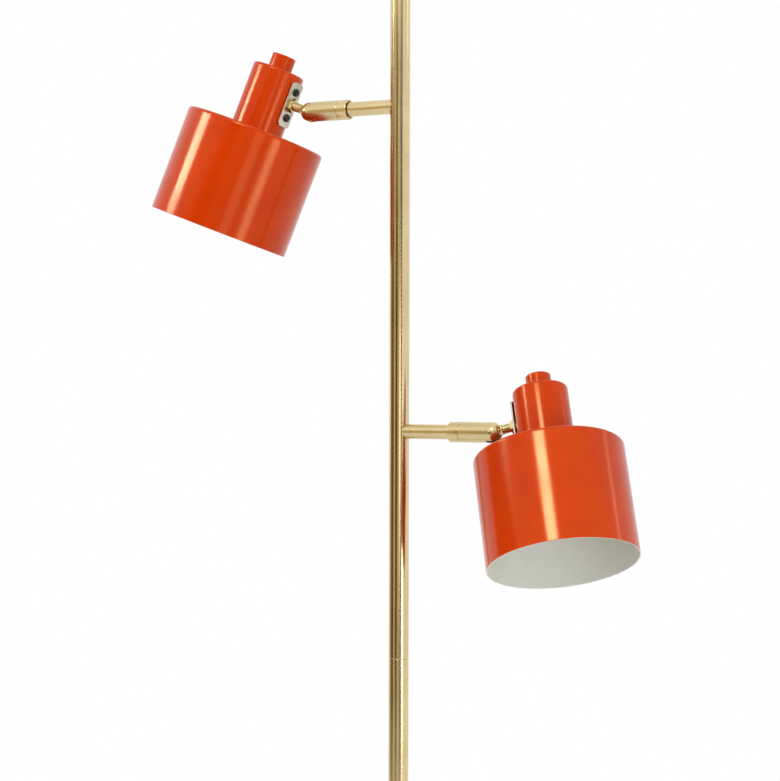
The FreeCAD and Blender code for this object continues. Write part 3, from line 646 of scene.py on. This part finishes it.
class MakeLampholders(bpy.types.Operator):
    """Mould the lampholder's clamping ring with its finger grips and roll the lamp shell's thread"""
    bl_idname = "pole_lamp.make_lampholders"
    bl_label = "Make lampholders"

    def execute(self, context):
        for lamp in LAMPS:
            self.ring(lamp)
            self.shell(lamp)
        return {"FINISHED"}

    def ring(self, lamp):
        """The flange keeps its round edge; the skirt below it is scalloped for the fingers."""
        axes = shade_axes(lamp)
        low, high = extent(f"{lamp}_shade_ring", axes)
        flange = (high.x - low.x) / 2
        skirt = flange - RING_SKIRT_INSET
        bore = flange - RING_BORE_INSET
        step = high.z - RING_FLANGE
        bm = turn([(bore, high.z, 0), (flange, high.z, 0.4 * MM), (flange, step, 0.4 * MM),
                   (skirt, step, 0), (skirt, low.z, 0.8 * MM), (bore, low.z, 0.3 * MM)], SMALL_STEPS)
        grips = bmesh.new()
        for k in range(GRIPS):
            grip = rod(GRIP_RADIUS, low.z - 1 * MM, step - 0.6 * MM, 20)
            angle = 2 * math.pi * k / GRIPS
            reach = skirt + GRIP_STAND_OFF
            bmesh.ops.translate(grip, verts=grip.verts,
                                vec=(reach * math.cos(angle), reach * math.sin(angle), 0))
            merge_in(grips, grip)
        piece = add_piece(f"{lamp}_grip_ring", carve(bm, [grips]), axes, ["moulded_black"])
        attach(piece, f"{lamp}_head")
        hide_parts(f"{lamp}_shade_ring")

    def shell(self, lamp):
        """A lamp thread rolled in thin brass: one wave, carried round and up."""
        axes = shade_axes(lamp)
        low, high = extent(f"{lamp}_socket_shell", axes)
        root = (high.x - low.x) / 2 - THREAD_INSET
        crest = root - THREAD_DEPTH
        bm = bmesh.new()
        wave = []
        for k in range(9):
            swell = (1 - math.cos(2 * math.pi * k / 8)) / 2
            wave.append(bm.verts.new((crest + (root - crest) * swell, 0, LAMP_PITCH * k / 8)))
        lines = [bm.edges.new(pair) for pair in zip(wave, wave[1:])]
        turns = math.ceil((high.z - low.z) / LAMP_PITCH) + 2
        steps = 48
        bmesh.ops.spin(bm, geom=wave + lines, axis=UP, cent=(0, 0, 0), dvec=(0, 0, LAMP_PITCH / steps),
                       angle=2 * math.pi * turns, steps=steps * turns, use_merge=False,
                       use_duplicate=False)
        bmesh.ops.remove_doubles(bm, verts=bm.verts, dist=1e-6)
        bmesh.ops.translate(bm, verts=bm.verts, vec=(0, 0, low.z - 1.5 * LAMP_PITCH))
        for height, side in ((low.z, -1), (high.z, 1)):
            everything = bm.verts[:] + bm.edges[:] + bm.faces[:]
            bmesh.ops.bisect_plane(bm, geom=everything, plane_co=(0, 0, height), plane_no=(0, 0, side),
                                   clear_outer=True, dist=1e-7)
        bmesh.ops.recalc_face_normals(bm, faces=bm.faces)
        piece = add_piece(f"{lamp}_lamp_shell", bm, axes, ["arm_brass"])
        wall = piece.modifiers.new("wall", "SOLIDIFY")
        wall.thickness = SHELL_WALL
        wall.offset = 0
        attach(piece, f"{lamp}_head")
        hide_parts(f"{lamp}_socket_shell")


class MakeEnds(bpy.types.Operator):
    """Turn the ribbed rubber pads at the floor and the ceiling, and the plunger"""
    bl_idname = "pole_lamp.make_ends"
    bl_label = "Make ends"

    def execute(self, context):
        self.pad("floor_pad", "pole", 1)
        self.pad("ceiling_pad", "ceiling_plunger", -1)
        self.plunger()
        return {"FINISHED"}

    def pad(self, node, body, facing):
        """A rubber pad: facing is 1 where its ribs point down and -1 where they point up."""
        low, high = extent(node)
        radius = (high.x - low.x) / 2
        thick = high.z - low.z
        back = thick if facing == 1 else -thick
        corners = [(0, back, 0), (radius - 1.2 * MM, back, 0.5 * MM), (radius, back * 0.45, 0.6 * MM),
                   (radius - 0.4 * MM, 0, 0.5 * MM)]
        for k in range(PAD_RIBS):
            edge = radius * (PAD_FIRST_RIB - PAD_RIB_SPACING * k)
            rise = math.copysign(PAD_GROOVE, back)
            corners += [(edge, 0, 0), (edge - 0.4 * MM, rise, 0), (edge - 1.8 * MM, rise, 0),
                        (edge - 2.2 * MM, 0, 0)]
        corners.append((0, 0, 0))
        bm = turn(corners, sizes().round_steps)
        bmesh.ops.translate(bm, verts=bm.verts, vec=(0, 0, low.z if facing == 1 else high.z))
        piece = add_piece(node.replace("_pad", "_rubber"), bm, Matrix(), ["pad_rubber"])
        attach(piece, body)
        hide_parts(node)

    def plunger(self):
        piece = add_piece("plunger_skin", tube_skin("plunger_tube"), Matrix(), ["drawn_brass"])
        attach(piece, "ceiling_plunger")
        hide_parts("plunger_tube")


class DressNodes(bpy.types.Operator):
    """Give the carried-over CAD pieces their finishes and smooth shading"""
    bl_idname = "pole_lamp.dress_nodes"
    bl_label = "Dress CAD pieces"

    def execute(self, context):
        by_slot = {
            "satin_brass": "drawn_brass", "orange_enamel": "gloss_enamel", "plated_steel": "zinc_plate",
            "black_steel": "black_oxide", "spring_steel": "zinc_plate", "grey_rubber": "pad_rubber",
            "black_plastic": "moulded_black", "nickel_brass": "arm_brass"}
        slots = {part["node"]: part["material_slot"] for part in FRAME["record"]["subparts"]}
        along_arm = ("arm_tube", "knuckle", "swivel", "stud", "pivot_pin", "pivot_tongue", "stub_nuts")
        for name, node in NODES.items():
            if node.hide_render:
                continue
            material = by_slot[slots[name]]
            if any(word in name for word in along_arm):
                material = "arm_brass"
            node.data.materials.clear()
            node.data.materials.append(bpy.data.materials[material])
            node.data.shade_smooth()
            weld = node.modifiers.new("weld", "WELD")
            weld.merge_threshold = 1e-6
            split = node.modifiers.new("sharp", "EDGE_SPLIT")
            split.split_angle = SHARP_ANGLE
        return {"FINISHED"}


# ---- stage ----
class SetStage(bpy.types.Operator):
    """Set the floor, the studio light and the camera"""
    bl_idname = "pole_lamp.set_stage"
    bl_label = "Set stage"

    def execute(self, context):
        self.floor()
        self.world()
        self.reflection_cards()
        self.softboxes()
        self.camera()
        context.scene.view_settings.view_transform = "Standard"
        return {"FINISHED"}

    def floor(self):
        bm = bmesh.new()
        bmesh.ops.create_circle(bm, cap_ends=True, segments=SMALL_STEPS, radius=FLOOR_RADIUS)
        material, sheet = empty_material("pale_floor")
        paint = sheet.add("ShaderNodeBsdfDiffuse", {"Color": (0.9, 0.9, 0.9, 1)})
        glow = sheet.add("ShaderNodeEmission", {"Color": (1, 1, 1, 1), "Strength": 1.0})
        share = sheet.add("ShaderNodeMath", {
            0: self.sees_background(sheet), 1: FLOOR_GLOW}, operation="MULTIPLY")
        mixed = sheet.add("ShaderNodeMixShader", {
            0: share.outputs[0], 1: paint.outputs[0], 2: glow.outputs[0]})
        sheet.add("ShaderNodeOutputMaterial", {0: mixed.outputs[0]}).is_active_output = True
        floor = self.stand("floor", bm, material)

    def stand(self, name, bm, material):
        """Put a piece of the studio on the stage."""
        mesh = bpy.data.meshes.new(name)
        bm.to_mesh(mesh)
        bm.free()
        mesh.materials.append(material)
        piece = bpy.data.objects.new(name, mesh)
        bpy.context.scene.collection.objects.link(piece)
        return piece

    def sees_background(self, sheet):
        """One for the rays that show the white background: camera, glossy and transmission rays."""
        path = sheet.add("ShaderNodeLightPath")
        straight = sheet.add("ShaderNodeMath", {
            0: path.outputs["Is Camera Ray"], 1: path.outputs["Is Transmission Ray"]}, operation="MAXIMUM")
        return sheet.add("ShaderNodeMath", {
            0: straight.outputs[0], 1: path.outputs["Is Glossy Ray"]}, operation="MAXIMUM").outputs[0]

    def world(self):
        """A white background, and a fill on diffuse surfaces that is stronger from the right."""
        world = bpy.data.worlds.new("studio")
        bpy.context.scene.world = world
        world.use_nodes = True
        world.node_tree.nodes.clear()
        sheet = NodeSheet(world.node_tree)
        around = sheet.add("ShaderNodeTexCoord").outputs["Generated"]
        right = sheet.add("ShaderNodeVectorMath", {0: around, 1: RIGHT}, operation="DOT_PRODUCT")
        leaning = sheet.add("ShaderNodeMapRange", {
            "Value": right.outputs["Value"], "From Min": -1.0,
            "To Min": FILL_FROM_LEFT, "To Max": FILL_FROM_RIGHT})
        strength = sheet.add("ShaderNodeMath", {0: leaning.outputs[0], 1: finishes().fill_light},
                             operation="MULTIPLY")
        fill = sheet.add("ShaderNodeBackground", {
            "Color": (1.0, 0.99, 0.96, 1), "Strength": strength.outputs[0]})
        white = sheet.add("ShaderNodeBackground", {"Color": (1, 1, 1, 1), "Strength": 1.0})
        seen = sheet.add("ShaderNodeMixShader", {
            0: self.sees_background(sheet), 1: fill.outputs[0], 2: white.outputs[0]})
        sheet.add("ShaderNodeOutputWorld", {0: seen.outputs[0]})

    def reflection_cards(self):
        """Upright glowing cards on the left and behind the camera, which only glossy rays see: painted
        reflections, no lamps, that lay bright and dark bands on the brass and the enamel.

        Each runs between two bearings in degrees, counted from the camera's side, with right positive.
        """
        # each colour is the painted reflection band, bright or dark, that the card lays on the metal
        for name, start, end, colour in (
                ("rear_left_board", -115, -88, (0.22, 0.17, 0.09)),
                ("left_board", -88, -66, (0.08, 0.06, 0.03)),
                ("left_pale_board", -66, -46, (0.74, 0.58, 0.31)),
                ("front_left_board", -46, -23, (0.02, 0.015, 0.008)),
                ("front_pale_board", -23, 4, (0.60, 0.52, 0.34)),
                ("front_board", 4, 29, (0.05, 0.05, 0.05))):
            bm = bmesh.new()
            bmesh.ops.create_grid(bm, x_segments=12, y_segments=1, size=0.5)
            for vert in bm.verts:
                bearing = math.radians(start + (vert.co.x + 0.5) * (end - start))
                rise = REFLECTION_CARD_HEIGHT * (vert.co.y + 0.5)
                outward = RIGHT * math.sin(bearing) + TOWARD * math.cos(bearing)
                vert.co = REFLECTION_CARD_RADIUS * outward + UP * rise
            self.reflection_card(name, bm, colour)

    def reflection_card(self, name, bm, colour):
        material, sheet = empty_material(name)
        # the card glows in its own colour: a painted reflection band that lights nothing
        card = sheet.add("ShaderNodeEmission", {"Color": (*colour, 1), "Strength": 1.0})
        sheet.add("ShaderNodeOutputMaterial", {0: card.outputs[0]}).is_active_output = True
        reflection_card = self.stand(name, bm, material)
        reflection_card.visible_camera = False
        reflection_card.visible_diffuse = False
        reflection_card.visible_transmission = False
        reflection_card.visible_shadow = False

    def softboxes(self):
        """Strips placed where each drum mirrors them at a share of its width, and a soft low fill."""
        for name, lamp, share, wide, tall, radiance, lift in (
                ("lower_stripe", "lower", 0.455, 14, 9, 36.0, 0.0),
                ("lower_faint_stripe", "lower", 0.87, 4, 9, 3.0, 0.0),
                ("upper_stripe", "upper", 0.14, 17, 9, 23.0, 1.5),
                ("upper_peach_stripe", "upper", 0.655, 12, 10, 7.0, 0.0),
                ("upper_faint_stripe", "upper", 0.53, 14, 12, 2.5, 0.0)):
            self.strip(name, lamp, share, wide, tall, radiance, lift)
        light = bpy.data.lights.new("low_fill", "AREA")
        light.size = 1.0
        light.energy = 9.0
        light.color = (0.78, 0.93, 1.0)
        fill = bpy.data.objects.new("low_fill", light)
        fill.location = RIGHT * 0.9 + TOWARD * 1.9 + UP * 0.7
        fill.rotation_euler = (fill.location - Vector((0.1, 0, 1.1))).to_track_quat("Z", "Y").to_euler()
        fill.visible_camera = False
        fill.visible_glossy = False
        bpy.context.scene.collection.objects.link(fill)

    def strip(self, name, lamp, share, wide, tall, radiance, lift):
        """An area light that the drum mirrors to the camera at this share of the drum's width.

        Its size is given in degrees as the drum sees it, and lift turns it up along the drum.
        """
        axes = shade_axes(lamp)
        low, high = extent(f"{lamp}_shade_drum", axes)
        up = axes.to_3x3().col[2].normalized()
        middle = axes @ Vector((0, 0, (low.z + high.z) / 2))
        eye = RIGHT * VIEW_OFFSET + TOWARD * VIEW_DISTANCE + UP * VIEW_HEIGHT
        view = (middle - eye).normalized()
        facing = (-view + up * view.dot(up)).normalized()
        side = view.cross(up).normalized()
        lean = math.asin(2 * share - 1)
        normal = facing * math.cos(lean) + side * math.sin(lean)
        spot = middle + normal * (high.x - low.x) / 2
        view = (spot - eye).normalized()
        aim = (view - 2 * view.dot(normal) * normal).normalized()
        along = (up - aim * up.dot(aim)).normalized()
        aim = (aim + along * math.tan(math.radians(lift))).normalized()
        along = (up - aim * up.dot(aim)).normalized()
        light = bpy.data.lights.new(name, "AREA")
        light.shape = "RECTANGLE"
        light.size = 2 * STRIP_REACH * math.tan(math.radians(wide / 2))
        light.size_y = 2 * STRIP_REACH * math.tan(math.radians(tall / 2))
        light.energy = radiance * math.pi * light.size * light.size_y
        light.color = STRIP_COLOUR
        panel = bpy.data.objects.new(name, light)
        matrix = Matrix((along.cross(aim), along, aim)).transposed().to_4x4()
        matrix.translation = spot + aim * STRIP_REACH
        panel.matrix_world = matrix
        panel.visible_camera = False
        bpy.context.scene.collection.objects.link(panel)

    def camera(self):
        data = bpy.data.cameras.new("camera")
        long_side = max(IMAGE_SIZE)
        data.lens = FOCAL_PIXELS * data.sensor_width / long_side
        data.shift_x = (IMAGE_SIZE[0] / 2 - AIM_PIXEL[0]) / long_side
        data.shift_y = (AIM_PIXEL[1] - IMAGE_SIZE[1] / 2) / long_side
        data.clip_end = 50
        camera = bpy.data.objects.new("camera", data)
        bpy.context.scene.collection.objects.link(camera)
        right = RIGHT * math.cos(VIEW_ROLL) + UP * math.sin(VIEW_ROLL)
        up = UP * math.cos(VIEW_ROLL) - RIGHT * math.sin(VIEW_ROLL)
        matrix = Matrix((right, up, TOWARD)).transposed().to_4x4()
        matrix.translation = RIGHT * VIEW_OFFSET + TOWARD * VIEW_DISTANCE + UP * VIEW_HEIGHT
        camera.matrix_world = matrix
        bpy.context.scene.camera = camera


class PoleLampPanel(bpy.types.Panel):
    bl_idname = "VIEW3D_PT_pole_lamp"
    bl_label = "Pole lamp"
    bl_space_type = "VIEW_3D"
    bl_region_type = "UI"
    bl_category = "Pole lamp"

    def draw(self, context):
        for group in (context.scene.pole_lamp_sizes, context.scene.pole_lamp_finishes):
            for name in group.bl_rna.properties.keys():
                if name not in ("rna_type", "name"):
                    self.layout.prop(group, name)
        for step in STEPS:
            self.layout.operator(step.bl_idname)


STEPS = (SetStage, MakeFinishes, MakePole, MakeEnds, MakeShades, MakeLampholders, DressNodes)
CLASSES = (PoleLampSizes, PoleLampFinishes, *STEPS, PoleLampPanel)


def register():
    for item in CLASSES:
        bpy.utils.register_class(item)
    bpy.types.Scene.pole_lamp_sizes = PointerProperty(type=PoleLampSizes)
    bpy.types.Scene.pole_lamp_finishes = PointerProperty(type=PoleLampFinishes)


def unregister():
    del bpy.types.Scene.pole_lamp_finishes
    del bpy.types.Scene.pole_lamp_sizes
    for item in reversed(CLASSES):
        bpy.utils.unregister_class(item)


def main():
    register()
    for step in STEPS:
        group, name = step.bl_idname.split(".")
        getattr(getattr(bpy.ops, group), name)()


if __name__ == "__main__":
    main()
